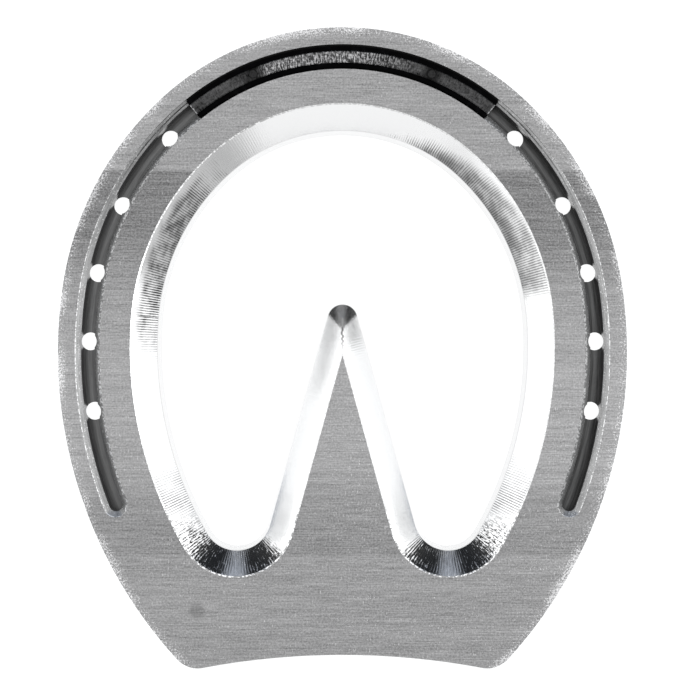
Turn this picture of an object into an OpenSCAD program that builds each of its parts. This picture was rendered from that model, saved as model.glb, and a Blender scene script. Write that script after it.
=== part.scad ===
// Heart-bar horseshoe milled from aluminium plate, with a steel toe insert bonded into its crease.
// It lies with its hoof face on the ground plane and its worn, creased ground face up; +Y is the toe.
// Turn angles run clockwise from +Y, seen from above, and say how far round the shoe a place is.

/* [Outline] */
// Radius of the outer edge round the toe
toe_r = 60.7; // [55:0.1:65]
// Turn at which the toe arc ends
toe_turn = 42; // [38:0.5:46]
// Radius of the outer edge round the quarters
quarter_r = 72.8; // [68:0.1:78]
// Turn at which the quarter arc ends
quarter_turn = 81.5; // [78:0.5:85]
// Radius of the outer edge along the branches
branch_r = 103.9; // [98:0.1:110]
// Thickness of the plate
thickness = 10; // [9:0.5:12]
// Distance from the toe to the middle of the heel edge, on the ground face
heel_reach = 143.4; // [140:0.1:146]
// Radius of the hollow heel edge
heel_r = 172; // [160:1:185]
// How much further the heel reaches at the hoof face than at the ground face
heel_slope = 3.6; // [2:0.1:4.5]
// Radius of the heel corners
corner_r = 6.5; // [4:0.5:8]

/* [Opening] */
// Width of the web at the toe, from the outer edge to the opening
toe_web = 23; // [21:0.1:25]
// Radius of the opening round the toe
open_toe_r = 39.1; // [37:0.1:41]
// Turn at which that arc ends
open_toe_turn = 42.6; // [40:0.1:45]
// Radius of the opening round the quarters
open_quarter_r = 50.3; // [48:0.1:52]
// Turn at which that arc ends
open_quarter_turn = 85.3; // [83:0.1:88]
// Radius of the opening along the branches
open_branch_r = 85.7; // [82:0.1:90]
// Turn at which that arc ends and the lobe beside the frog plate begins
open_branch_turn = 120; // [118:0.1:122]
// Radius of the lobes
lobe_r = 8; // [7:0.1:9]
// Angle of the frog plate's sides to the shoe's centre line
frog_angle = 15.5; // [14:0.1:17]
// Radius of the frog plate's tip
frog_tip_r = 3.4; // [2.5:0.1:4.5]
// Width of the bevel round the opening
bevel_w = 5.6; // [4:0.1:6]
// Depth of the bevel
bevel_d = 5.4; // [3.5:0.1:6]
// How much the opening narrows from the bevel to the hoof face, on each side
draft = 0.8; // [0:0.1:1.2]

/* [Crease] */
// Distance from the outer edge to the middle of the crease
crease_inset = 6.8; // [6.4:0.1:7.2]
// Width of the crease's slot
slot_w = 3.1; // [3:0.1:3.4]
// Depth of the slot
crease_d = 5.5; // [5:0.1:6]
// Width and depth of the chamfer along each side of the slot
crease_chamfer = 1.2; // [0.8:0.1:1.4]
// Turn at which the crease ends
crease_end_turn = 111; // [108:0.5:112]

/* [Nail holes] */
// Diameter of the nail holes
hole_dia = 4.1; // [3.5:0.1:4.5]
// Turns of the nail holes, from the toe to the heel
hole_turns = [47, 63.6, 78, 88.5, 98];
// Distances from the outer edge to the same holes
hole_insets = [7.5, 7.2, 6.9, 6.8, 6.9];

/* [Toe insert] */
// Width of the steel bar
insert_w = 2.7; // [2.5:0.1:2.8]
// Turn at which the bar ends, each side of the toe
insert_turn = 39.2; // [35:0.1:40]
// Chamfer along the bar's upper edges
insert_chamfer = 0.25; // [0.1:0.05:0.4]
// How far the bonding resin is sunk below the ground face
bond_sink = 0.35; // [0.2:0.05:0.6]
// Thickness of the resin under the bar
bond_film = 0.3; // [0.1:0.05:0.5]
// Turn of the rivets, each side of the toe
rivet_turn = 22.2; // [15:0.1:30]
// Diameter of the rivets
rivet_dia = 2; // [1.5:0.1:2.2]
// Diameter of the rivets' countersunk heads
rivet_head_dia = 3.8; // [3:0.1:4.5]
// Depth of the rivets' heads
rivet_head_d = 0.9; // [0.6:0.1:1.2]

/* [Hidden] */
// Gap round the bonded parts, how far cutters overshoot, and how the crease's passes overlap (turn, mm)
clear = 0.03;
over = 1;
run_in = 2;
pass_step = 0.05;
// Degrees of arc to a facet, and numbers of facets
arc_step = 3;
lobe_step = 9;
tip_step = 15;
branch_steps = 14;
corner_steps = 6;
heel_steps = 5;
slot_floor = thickness - crease_d;
edge_z = thickness - bevel_d;

// Unit vector at a turn angle
function u(turn) = [sin(turn), cos(turn)];

// Turn angle of a vector
function turn_of(v) = atan2(v.x, v.y);

// Points along an arc, from one turn angle to another
function arc(centre, r, from, to, step = arc_step) =
    let (n = max(1, ceil(abs(to - from) / step)))
    [for (i = [0:n]) centre + r * u(from + (to - from) * i / n)];

// A loop from its right half, which starts and ends on the centre line
function mirrored(half) =
    concat(half, [for (i = [len(half) - 2:-1:1]) [-half[i].x, half[i].y]]);

// A loop of plane points set at one height
function at_z(loop, z) = [for (p = loop) [p.x, p.y, z]];

// Centre of the corner rounding between the branch arc and the heel arc
function corner_centre(branch_c, heel_c, hollow_r) =
    let (
        ra = branch_r - corner_r,
        rb = hollow_r + corner_r,
        span = heel_c - branch_c,
        d = norm(span),
        e = span / d,
        along = (ra * ra - rb * rb + d * d) / (2 * d),
        across = sqrt(ra * ra - along * along)
    )
    branch_c + along * e + across * [-e.y, e.x];

// The shoe is first set out with the toe at the origin, and then centred
toe_c0 = [0, -toe_r];
quarter_c0 = toe_c0 + (toe_r - quarter_r) * u(toe_turn);
branch_c0 = quarter_c0 + (quarter_r - branch_r) * u(quarter_turn);
heel_c0 = [0, -heel_reach - heel_r];
lowest = corner_centre(branch_c0, heel_c0, heel_r - heel_slope).y - corner_r;
toe = [0, -lowest / 2];
toe_c = toe + toe_c0;
quarter_c = toe + quarter_c0;
branch_c = toe + branch_c0;
heel_c = toe + heel_c0;

// Right half of the outer edge, with the heel hollowed to a given radius
function outer_half(hollow_r) =
    let (
        corner = corner_centre(branch_c, heel_c, hollow_r),
        corner_from = turn_of(corner - branch_c),
        corner_to = 360 + turn_of(heel_c - corner)
    )
    concat(
        arc(toe_c, toe_r, 0, toe_turn),
        slice_first(arc(quarter_c, quarter_r, toe_turn, quarter_turn)),
        slice_first(even_arc(branch_c, branch_r, quarter_turn, corner_from, branch_steps)),
        slice_first(even_arc(corner, corner_r, corner_from, corner_to, corner_steps)),
        slice_first(even_arc(heel_c, hollow_r, turn_of(corner - heel_c), 0, heel_steps))
    );

// Points along an arc in a given number of steps
function even_arc(centre, r, from, to, n) =
    [for (i = [0:n]) centre + r * u(from + (to - from) * i / n)];

// A list without its first point
function slice_first(points) = [for (i = [1:len(points) - 1]) points[i]];

// Point a given distance in from the outer edge
function inside_edge(turn, inset) =
    turn <= toe_turn ? toe_c + (toe_r - inset) * u(turn)
    : turn <= quarter_turn ? quarter_c + (quarter_r - inset) * u(turn)
    : branch_c + (branch_r - inset) * u(turn);

// Centres of the opening's arcs
open_toe_c = toe - [0, toe_web + open_toe_r];
open_quarter_c = open_toe_c + (open_toe_r - open_quarter_r) * u(open_toe_turn);
open_branch_c = open_quarter_c + (open_quarter_r - open_branch_r) * u(open_quarter_turn);
lobe_c = open_branch_c + (open_branch_r - lobe_r) * u(open_branch_turn);

// The frog plate's right side is a straight line that leaves the lobe at this turn
frog_turn = 270 - frog_angle;
frog_n = u(frog_turn);
frog_start = lobe_c + lobe_r * frog_n;
tip_c = [0, frog_start.y + (frog_tip_r + frog_start.x * frog_n.x) / frog_n.y];
ridge_foot_x = -bevel_w * frog_n.x;
frog_dir = [frog_n.y, -frog_n.x];
ridge_foot = frog_start + frog_dir * (ridge_foot_x - frog_start.x) / frog_dir.x;

// Right half of the opening as [point, direction into the plate, furthest step that way]
function open_arc(centre, r, from, to, step) =
    [for (p = arc(centre, r, from, to, step)) [p, (p - centre) / r, 2 * bevel_w]];

open_half = concat(
    open_arc(open_toe_c, open_toe_r, 0, open_toe_turn, arc_step),
    slice_first(open_arc(open_quarter_c, open_quarter_r, open_toe_turn, open_quarter_turn, arc_step)),
    slice_first(open_arc(open_branch_c, open_branch_r, open_quarter_turn, open_branch_turn, arc_step)),
    slice_first(open_arc(lobe_c, lobe_r, open_branch_turn, frog_turn, lobe_step)),
    [[ridge_foot, frog_n, bevel_w]],
    [for (p = arc(tip_c, frog_tip_r, 90 - frog_angle, 0, tip_step)) [p, (tip_c - p) / frog_tip_r, frog_tip_r]]
);

// A point of the opening's edge moved into the plate, no further than the centre line
function moved(e, step) =
    step < e[2] ? e[0] + step * e[1] : [max(0, (e[0] + e[2] * e[1]).x), (e[0] + e[2] * e[1]).y];

// Half loops round the opening at one height, and along the top of the bevel
function open_loop(step, z) = [for (e = open_half) concat(moved(e, step), z)];
bevel_loop = [for (e = open_half) concat(moved(e, bevel_w), edge_z + bevel_d * min(1, e[2] / bevel_w))];

// Closed solid through loops of equal length, from the lowest to the highest
module loft(loops) {
    n = len(loops[0]);
    points = [for (loop = loops) each loop];
    sides = [for (k = [0:len(loops) - 2]) for (i = [0:n - 1])
        let (a = k * n + i, b = k * n + (i + 1) % n)
        each [[a, b, a + n], [b, b + n, a + n]]];
    faces = concat(
        [[for (i = [n - 1:-1:0]) i]],
        [for (f = sides) if (!flat_triangle([for (i = f) points[i]])) f],
        [[for (i = [0:n - 1]) (len(loops) - 1) * n + i]]
    );
    polyhedron(points, faces, convexity = 10);
}

// Whether two corners of a triangle are in the same place
function flat_triangle(t) = min(norm(t[0] - t[1]), norm(t[1] - t[2]), norm(t[2] - t[0])) < 1e-6;

// The plate before it is opened and creased
module blank() {
    loft([
        at_z(mirrored(outer_half(heel_r - heel_slope)), 0),
        at_z(mirrored(outer_half(heel_r)), thickness)
    ]);
}

// Right half of what is milled out of the middle
module opening_half() {
    loft([
        open_loop(-draft, -over),
        open_loop(-draft, 0),
        open_loop(0, edge_z),
        bevel_loop,
        [for (p = bevel_loop) [p.x, p.y, thickness + over]]
    ]);
}

// Section of the crease, with its chamfers carried on above the ground face
module crease_section(gap = 0) {
    half_w = slot_w / 2 + gap;
    polygon(mirrored([
        [0, thickness + over],
        [half_w + crease_chamfer + over, thickness + over],
        [half_w, thickness - crease_chamfer],
        [half_w, slot_floor - gap],
        [0, slot_floor - gap]
    ]));
}

// A section swept round one of the outer edge's arcs, on the right side (1) or the left (-1)
module swept(side, centre, r, from, to) {
    translate([side * centre.x, centre.y, 0])
        rotate(side > 0 ? 90 - to : 90 + from)
            rotate_extrude(angle = to - from, $fn = 120)
                translate([r - crease_inset, 0])
                    children();
}

// What is milled out for the crease: passes that run into a wider one round each quarter, and tapered ends
module crease_cut() {
    end_r = slot_w / 2 + pass_step;
    rim_r = slot_w / 2 + crease_chamfer;
    swept(1, toe_c, toe_r, -toe_turn - run_in, toe_turn + run_in) crease_section();
    for (side = [-1, 1]) {
        swept(side, quarter_c, quarter_r, toe_turn, quarter_turn) crease_section(pass_step);
        swept(side, branch_c, branch_r, quarter_turn - run_in, crease_end_turn) crease_section();
    }
    at_both(inside_edge(crease_end_turn, crease_inset))
        translate([0, 0, slot_floor - pass_step])
            cylinder(h = crease_d + pass_step, r1 = end_r, r2 = rim_r, $fn = 48);
}

// A child at both of two mirrored places
module at_both(at) {
    for (side = [-1, 1])
        translate([side * at.x, at.y, 0])
            children();
}

// Rivets, or the holes for them with a gap all round
module rivets(gap = 0) {
    head_r = rivet_head_dia / 2 + gap;
    shank_r = rivet_dia / 2 + gap;
    at_both(inside_edge(rivet_turn, crease_inset)) {
        cylinder(h = thickness, r = shank_r, $fn = 32);
        cylinder(h = rivet_head_d, r1 = head_r, r2 = shank_r, $fn = 32);
    }
}

module shoe_body() {
    color([0.63, 0.64, 0.65]) difference() {
        blank();
        opening_half();
        mirror([1, 0, 0]) opening_half();
        crease_cut();
        for (i = [0:len(hole_turns) - 1])
            at_both(inside_edge(hole_turns[i], hole_insets[i]))
                translate([0, 0, -over])
                    cylinder(h = thickness + 2 * over, d = hole_dia, $fn = 48);
        rivets(clear);
    }
}

module toe_insert() {
    half_w = insert_w / 2;
    color([0.25, 0.25, 0.26]) difference() {
        swept(1, toe_c, toe_r, -insert_turn, insert_turn)
            polygon(mirrored([
                [0, thickness],
                [half_w - insert_chamfer, thickness],
                [half_w, thickness - insert_chamfer],
                [half_w, slot_floor + bond_film],
                [0, slot_floor + bond_film]
            ]));
        rivets(clear);
    }
}

// Resin under the bar and up both sides of it, part of the way up the crease's chamfers
module insert_bond() {
    wall = slot_w / 2 - clear;
    bar = insert_w / 2 + clear;
    color([0.03, 0.03, 0.03]) difference() {
        swept(1, toe_c, toe_r, -insert_turn, insert_turn)
            polygon(mirrored([
                [0, slot_floor + bond_film - clear],
                [bar, slot_floor + bond_film - clear],
                [bar, thickness - bond_sink],
                [wall + crease_chamfer - bond_sink, thickness - bond_sink],
                [wall, thickness - crease_chamfer],
                [wall, slot_floor + clear],
                [0, slot_floor + clear]
            ]));
        rivets(clear);
    }
}

module insert_rivets() {
    color([0.35, 0.35, 0.36]) rivets();
}

shoe_body();
toe_insert();
insert_bond();
insert_rivets();
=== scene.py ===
"""Heart-bar horseshoe: a milled plate with a bonded and riveted toe bar, built round its packed frame.

Turns are angles clockwise from +Y, seen from above. The ground face is up and the toe points to +Y.
"""

import math

import bmesh
import bpy
from bpy.props import FloatProperty, FloatVectorProperty, PointerProperty
from mathutils import Matrix, Vector, noise


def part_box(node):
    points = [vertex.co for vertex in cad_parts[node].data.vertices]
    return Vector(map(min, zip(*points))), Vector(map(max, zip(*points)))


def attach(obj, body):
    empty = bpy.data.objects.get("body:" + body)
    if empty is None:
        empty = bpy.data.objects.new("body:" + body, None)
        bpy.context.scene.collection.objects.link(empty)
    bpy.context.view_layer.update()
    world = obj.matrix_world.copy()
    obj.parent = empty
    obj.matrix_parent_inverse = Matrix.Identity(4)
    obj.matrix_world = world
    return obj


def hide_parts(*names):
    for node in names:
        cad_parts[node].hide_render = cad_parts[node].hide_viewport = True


bl_info = {
    "name": "Heart-bar horseshoe",
    "version": (1, 0, 0),
    "blender": (4, 5, 0),
    "location": "View3D > Sidebar > Horseshoe",
    "description": "Builds a milled heart-bar horseshoe with its toe bar, resin and rivets",
    "category": "Object",
}

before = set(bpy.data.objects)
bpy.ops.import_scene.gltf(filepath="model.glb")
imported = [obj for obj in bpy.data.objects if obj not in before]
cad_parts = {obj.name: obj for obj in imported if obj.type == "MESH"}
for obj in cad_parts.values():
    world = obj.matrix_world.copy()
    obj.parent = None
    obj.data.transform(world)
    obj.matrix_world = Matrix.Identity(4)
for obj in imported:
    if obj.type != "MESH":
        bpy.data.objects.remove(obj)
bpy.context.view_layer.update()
_, PLATE_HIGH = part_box("shoe_body")
MM = 0.001
TINY = 1e-6
UP = Vector((0, 0, 1))


def length(name, description, millimetres):
    """A length property whose default is given in millimetres."""
    return FloatProperty(
        name=name, description=description, default=millimetres * MM, unit="LENGTH", precision=5
    )


def angle(name, description, degrees):
    """An angle property whose default is given in degrees."""
    return FloatProperty(
        name=name, description=description, default=math.radians(degrees), subtype="ANGLE"
    )


def colour(name, description, default):
    """A linear colour property."""
    return FloatVectorProperty(
        name=name, description=description, default=default, subtype="COLOR", min=0, max=1
    )


def share(name, description, default):
    """A plain factor."""
    return FloatProperty(name=name, description=description, default=default, min=0)


class ShoeOutline(bpy.types.PropertyGroup):
    """Outer edge of the plate."""

    toe_r: length("Toe radius", "Radius of the outer edge round the toe", 60.7)
    toe_turn: angle("Toe turn", "Turn at which the toe arc ends", 42)
    quarter_r: length("Quarter radius", "Radius of the outer edge round the quarters", 72.8)
    quarter_turn: angle("Quarter turn", "Turn at which the quarter arc ends", 81.5)
    branch_r: length("Branch radius", "Radius of the outer edge along the branches", 103.9)
    heel_reach: length("Heel reach", "From the toe to the heel edge on the ground face", 143.4)
    heel_r: length("Heel radius", "Radius of the hollow heel edge", 172)
    heel_slope: length("Heel slope", "How much further the heel reaches at the hoof face", 3.6)
    corner_r: length("Corner radius", "Radius of the heel corners", 6.5)
    edge_break: length("Edge break", "Small chamfer along the plate's sharp edges", 0.12)


class ShoeOpening(bpy.types.PropertyGroup):
    """Opening in the plate, with its bevel and the frog plate."""

    toe_web: length("Toe web", "Width of the web at the toe", 23)
    toe_r: length("Toe radius", "Radius of the opening round the toe", 39.1)
    toe_turn: angle("Toe turn", "Turn at which that arc ends", 42.6)
    quarter_r: length("Quarter radius", "Radius of the opening round the quarters", 50.3)
    quarter_turn: angle("Quarter turn", "Turn at which that arc ends", 85.3)
    branch_r: length("Branch radius", "Radius of the opening along the branches", 85.7)
    branch_turn: angle("Branch turn", "Turn at which that arc ends", 120)
    lobe_r: length("Lobe radius", "Radius of the lobes beside the frog plate", 8)
    frog_angle: angle("Frog angle", "Angle of the frog plate's sides to the centre line", 15.5)
    frog_tip_r: length("Frog tip radius", "Radius of the frog plate's tip", 3.4)
    bevel_w: length("Bevel width", "Width of the bevel round the opening", 5.6)
    bevel_d: length("Bevel depth", "Depth of the bevel", 5.4)
    draft: length("Draft", "How much the opening narrows towards the hoof face", 0.8)
    crown: length("Crown", "How far the bevel swells above a straight chamfer", 0.05)
    lip: length("Lip", "Width of the burr along the bevel's ground edge", 0.14)
    ridge_pitch: length("Ridge pitch", "Distance from one feed ridge to the next", 0.57)
    ridge_h: length("Ridge height", "Height of the feed ridges", 0.016)
    wander: length("Burr wander", "How far the burr line strays", 0.06)


class ShoeCrease(bpy.types.PropertyGroup):
    """Crease with its nail holes."""

    inset: length("Inset", "From the outer edge to the middle of the crease", 6.8)
    slot_w: length("Slot width", "Width of the slot", 3.1)
    depth: length("Depth", "Depth of the slot", 5.5)
    chamfer: length("Chamfer", "Width and depth of the chamfers beside the slot", 1.2)
    end_turn: angle("End turn", "Turn at which the crease ends", 111)
    lip: length("Lip", "Rounding along the crease's edges", 0.07)
    hole_dia: length("Hole diameter", "Diameter of the nail holes", 4.1)
    hole_break: length("Hole break", "Chamfer of the nail holes on the hoof face", 0.2)


class ToeBar(bpy.types.PropertyGroup):
    """Steel bar bonded into the crease round the toe."""

    width: length("Width", "Width of the bar", 2.7)
    turn: angle("Turn", "Turn at which the bar ends, each side of the toe", 39.2)
    chamfer: length("Chamfer", "Chamfer along the bar's upper edges", 0.22)
    film: length("Resin film", "Thickness of the resin under the bar", 0.3)
    sink: length("Resin sink", "How far the resin is sunk below the ground face", 0.35)
    ripple: length("Resin ripple", "How far the resin's surface rises and falls", 0.08)
    gap: length("Gap", "Clearance between bonded parts", 0.03)
    rivet_turn: angle("Rivet turn", "Turn of the rivets, each side of the toe", 22.2)
    rivet_dia: length("Rivet diameter", "Diameter of the rivets", 2)
    head_dia: length("Head diameter", "Diameter of the rivets' countersunk heads", 3.8)
    head_d: length("Head depth", "Depth of the rivets' heads", 0.9)


class ShoeFinish(bpy.types.PropertyGroup):
    """Colours and finishes."""

    aluminium: colour("Aluminium", "Rolled face of the plate", (0.378, 0.378, 0.382))
    milled: colour("Milled aluminium", "Cut faces of the plate", (0.90, 0.905, 0.91))
    steel: colour("Steel", "Ground face of the toe bar", (0.12, 0.12, 0.122))
    resin: colour("Resin", "Bonding resin", (0.0012, 0.0012, 0.0014))
    face_rough: share("Face roughness", "Roughness of the rolled face", 0.36)
    cut_rough: share("Cut roughness", "Roughness of the milled faces", 0.16)


class ShoeStage(bpy.types.PropertyGroup):
    """Table, light tent and camera."""

    camera_h: length("Camera height", "Camera above the ground face", 422)
    camera_x: length("Camera X", "Camera to the right of the centre line", 1.72)
    camera_y: length("Camera Y", "Camera ahead of the middle", 1.05)
    view_w: length("View width", "Width of the view at the ground face", 159.65)
    floor_size: length("Table size", "Side of the table", 4000)
    table_gap: length("Table gap", "Gap between the hoof face and the table", 0.02)
    key_size: length("Key size", "Diameter of the soft light on the right", 350)
    key_power: share("Key light", "Power of the soft light on the right", 1.6)
    tent: share("Tent", "Brightness of the light tent", 1.0)


GROUPS = (
    ("shoe_outline", ShoeOutline),
    ("shoe_opening", ShoeOpening),
    ("shoe_crease", ShoeCrease),
    ("shoe_bar", ToeBar),
    ("shoe_finish", ShoeFinish),
    ("shoe_stage", ShoeStage),
)

HOLE_TURNS = [math.radians(turn) for turn in (47, 63.6, 78, 88.5, 98)]
HOLE_INSETS = [inset * MM for inset in (7.5, 7.2, 6.9, 6.8, 6.9)]


# Layout ------------------------------------------------------------------------------------


def heading(turn):
    """Level unit vector at a turn."""
    return Vector((math.sin(turn), math.cos(turn), 0))


def turn_of(vector):
    """Turn of a level vector."""
    return math.atan2(vector.x, vector.y)


class Layout:
    """Centres and turns that follow from the sizes."""

    def __init__(self, scene):
        edge, hole = scene.shoe_outline, scene.shoe_opening
        self.edge, self.hole, self.crease, self.bar = edge, hole, scene.shoe_crease, scene.shoe_bar
        self.thickness = PLATE_HIGH.z
        self.toe_y = PLATE_HIGH.y
        toe = Vector((0, self.toe_y, 0))
        self.toe_c = toe - Vector((0, edge.toe_r, 0))
        self.quarter_c = self.toe_c + (edge.toe_r - edge.quarter_r) * heading(edge.toe_turn)
        self.branch_c = self.quarter_c + (edge.quarter_r - edge.branch_r) * heading(edge.quarter_turn)
        self.heel_c = toe - Vector((0, edge.heel_reach + edge.heel_r, 0))
        self.open_toe_c = toe - Vector((0, hole.toe_web + hole.toe_r, 0))
        self.open_quarter_c = self.open_toe_c + (hole.toe_r - hole.quarter_r) * heading(hole.toe_turn)
        self.open_branch_c = self.open_quarter_c + (hole.quarter_r - hole.branch_r) * heading(
            hole.quarter_turn
        )
        self.lobe_c = self.open_branch_c + (hole.branch_r - hole.lobe_r) * heading(hole.branch_turn)
        self.frog_turn = 1.5 * math.pi - hole.frog_angle
        self.frog_n = heading(self.frog_turn)
        self.frog_dir = Vector((self.frog_n.y, -self.frog_n.x, 0))
        self.frog_start = self.lobe_c + hole.lobe_r * self.frog_n
        tip_y = self.frog_start.y + (hole.frog_tip_r + self.frog_start.x * self.frog_n.x) / self.frog_n.y
        self.tip_c = Vector((0, tip_y, 0))
        self.edge_z = self.thickness - hole.bevel_d
        self.slot_floor = self.thickness - self.crease.depth

    def corner(self, hollow_r):
        """Centre of the corner between the branch arc and a heel arc."""
        near = self.edge.branch_r - self.edge.corner_r
        far = hollow_r + self.edge.corner_r
        span = self.heel_c - self.branch_c
        apart = span.length
        along = (near**2 - far**2 + apart**2) / (2 * apart)
        across = math.sqrt(near**2 - along**2)
        unit = span / apart
        return self.branch_c + along * unit + across * Vector((-unit.y, unit.x, 0))

    def inside_edge(self, turn, inset):
        """Point a given distance in from the outer edge."""
        edge = self.edge
        if turn <= edge.toe_turn:
            return self.toe_c + (edge.toe_r - inset) * heading(turn)
        if turn <= edge.quarter_turn:
            return self.quarter_c + (edge.quarter_r - inset) * heading(turn)
        return self.branch_c + (edge.branch_r - inset) * heading(turn)


# Modelling ---------------------------------------------------------------------------------

# Steps round each arc, fine enough that no facet shows, and steps from one feed ridge to the next
TOE_STEPS, QUARTER_STEPS, BRANCH_STEPS, CORNER_STEPS, HEEL_STEPS = 60, 64, 110, 18, 40
CREASE_REAR_STEPS, CREASE_END_STEPS, TIP_STEPS, LATHE_STEPS = 60, 24, 40, 48
RIDGE_STEPS = 3

# Edges at the hoof face are broken wider than those at the ground face by this factor
HOOF_BREAK = 1.4

# Grain of the noise that roughens the burrs, the feed ridges and the resin
BURR_GRAIN, RIDGE_GRAIN, CHATTER_GRAIN, RESIN_GRAIN = 0.55 * MM, 4 * MM, 0.5 * MM, 0.9 * MM


def swing(bm, geom, centre, turn, steps):
    """Spins geometry clockwise about a vertical axis and gives its last copy."""
    spun = bmesh.ops.spin(
        bm,
        geom=geom,
        cent=centre,
        axis=(0, 0, -1),
        dvec=(0, 0, 0),
        angle=turn,
        steps=steps,
        use_merge=False,
        use_normal_flip=False,
        use_duplicate=False,
    )
    return spun["geom_last"]


def chain(bm, points, closed=False):
    """Verts at points, joined by edges in a row."""
    verts = [bmesh.ops.create_vert(bm, co=point)["vert"][0] for point in points]
    pairs = list(zip(verts, verts[1:]))
    if closed:
        pairs.append((verts[-1], verts[0]))
    edges = [bm.edges.new(pair) for pair in pairs]
    return verts + edges


def steps_for(arc, step):
    """Number of steps of about a given size along an arc."""
    return max(1, round(abs(arc) / step))


def rise_of(item):
    """Height of a vert, to sort a section by."""
    return item.co.z


def section_verts(geom):
    """Verts of a section, from the lowest to the highest."""
    return sorted((g for g in geom if isinstance(g, bmesh.types.BMVert)), key=rise_of)


def section_edges(geom):
    """Edges of a section."""
    return [g for g in geom if isinstance(g, bmesh.types.BMEdge)]


def outer_edge(bm, layout, inset, z):
    """Right half of the outer edge at one height, as edges."""
    edge = layout.edge
    old = set(bm.edges)
    hollow_r = edge.heel_r - edge.heel_slope * (1 - z / layout.thickness)
    corner = layout.corner(hollow_r)
    corner_from = turn_of(corner - layout.branch_c)
    corner_to = 2 * math.pi + turn_of(layout.heel_c - corner)
    geom = bmesh.ops.create_vert(bm, co=(0, layout.toe_y - inset, z))["vert"]
    arcs = (
        (layout.toe_c, edge.toe_turn, TOE_STEPS),
        (layout.quarter_c, edge.quarter_turn - edge.toe_turn, QUARTER_STEPS),
        (layout.branch_c, corner_from - edge.quarter_turn, BRANCH_STEPS),
        (corner, corner_to - corner_from, CORNER_STEPS),
        (layout.heel_c, -turn_of(corner - layout.heel_c), HEEL_STEPS),
    )
    for centre, turn, steps in arcs:
        geom = swing(bm, geom, centre, turn, steps)
    geom[0].co.x = 0
    return [e for e in bm.edges if e not in old]


def outer_wall(bm, layout):
    """Right half of the plate's outer wall, with its edges broken."""
    small, top = layout.edge.edge_break, layout.thickness
    large = HOOF_BREAK * small
    levels = ((large, 0), (0, large), (0, top - small), (small, top))
    loops = [outer_edge(bm, layout, inset, z) for inset, z in levels]
    for lower, upper in zip(loops, loops[1:]):
        bmesh.ops.bridge_loops(bm, edges=lower + upper)


def bevel_rows(layout):
    """Steps into the plate and heights of the opening's section, from the hoof face up."""
    hole, edge = layout.hole, layout.edge
    large = HOOF_BREAK * edge.edge_break
    flat = hole.bevel_w - hole.lip
    rows = [(-hole.draft + large, 0), (-hole.draft * (1 - large / layout.edge_z), large), (0, layout.edge_z)]
    for part in (0.03, 0.2, 0.4, 0.6, 0.8, 0.97):
        swell = hole.crown * 4 * part * (1 - part)
        rows.append((part * flat, layout.edge_z + part * (hole.bevel_d - 0.3 * hole.lip) + swell))
    rows.append((hole.bevel_w, layout.thickness))
    return rows


def frog_rings(bm, layout, rows, geom, rings):
    """Carries the opening's section along the frog plate's side and round its tip.

    Past the ridge's foot the two sides' bevels meet, so the section narrows towards the tip.
    """
    hole = layout.hole
    foot_x = -hole.bevel_w * layout.frog_n.x
    ridge_foot = layout.frog_start + layout.frog_dir * (
        (foot_x - layout.frog_start.x) / layout.frog_dir.x
    )
    tangent = layout.tip_c - hole.frog_tip_r * layout.frog_n
    step = hole.ridge_pitch / RIDGE_STEPS
    for start, end, wide_from, wide_to in (
        (layout.frog_start, ridge_foot, hole.bevel_w, hole.bevel_w),
        (ridge_foot, tangent, hole.bevel_w, hole.frog_tip_r),
    ):
        count = steps_for((end - start).length, step)
        for i in range(1, count + 1):
            foot = start.lerp(end, i / count)
            wide = wide_from + (wide_to - wide_from) * i / count
            new = bmesh.ops.extrude_edge_only(bm, edges=section_edges(geom))["geom"]
            geom = [g for g in new if not isinstance(g, bmesh.types.BMFace)]
            ring = section_verts(geom)
            for vert, (inward, z) in zip(ring, rows):
                part = wide / hole.bevel_w if inward > 0 else 1
                vert.co = foot + inward * part * layout.frog_n
                vert.co.z = layout.edge_z + (z - layout.edge_z) * part if inward > 0 else z
            rings.append(ring)
    tip_turn = math.pi / 2 - hole.frog_angle
    swing(bm, geom, layout.tip_c, -tip_turn, TIP_STEPS)


def opening_wall(bm, layout):
    """Right half of the opening's wall and bevel, with feed ridges across the bevel."""
    hole = layout.hole
    rows = bevel_rows(layout)
    wall_y = layout.toe_y - hole.toe_web
    geom = chain(bm, [Vector((0, wall_y + inward, z)) for inward, z in rows])
    rings = [section_verts(geom)]
    arcs = (
        (layout.open_toe_c, hole.toe_r, hole.toe_turn),
        (layout.open_quarter_c, hole.quarter_r, hole.quarter_turn - hole.toe_turn),
        (layout.open_branch_c, hole.branch_r, hole.branch_turn - hole.quarter_turn),
        (layout.lobe_c, hole.lobe_r, layout.frog_turn - hole.branch_turn),
    )
    for centre, radius, turn in arcs:
        count = steps_for(turn * (radius + hole.bevel_w / 2), hole.ridge_pitch / RIDGE_STEPS)
        for _ in range(count):
            geom = swing(bm, geom, centre, turn / count, 1)
            rings.append(section_verts(geom))
    frog_rings(bm, layout, rows, geom, rings)
    ridge_bevel(layout, rings)


def ridge_bevel(layout, rings):
    """Lifts every third ring of the bevel into a feed ridge, unevenly."""
    hole = layout.hole
    for i, ring in enumerate(rings[1:-1], 1):
        lift = hole.ridge_h * (1 if i % RIDGE_STEPS == 0 else -0.5)
        for vert in ring[3:-2]:
            strength = 0.55 + 0.9 * noise.noise(vert.co / RIDGE_GRAIN)
            chatter = 0.6 * hole.ridge_h * noise.noise(vert.co / CHATTER_GRAIN)
            vert.co.z += lift * max(0.1, strength) + chatter


def crease_rows(layout):
    """Steps outwards and heights of the crease's section, from the outer side to the inner."""
    crease = layout.crease
    half, top, lip = crease.slot_w / 2, layout.thickness, crease.lip
    side = [
        (half + crease.chamfer + lip, top),
        (half + crease.chamfer, top - lip),
        (half, top - crease.chamfer),
        (half, layout.slot_floor),
    ]
    return side + [(0, layout.slot_floor)] + [(-out, z) for out, z in reversed(side)]


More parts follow.
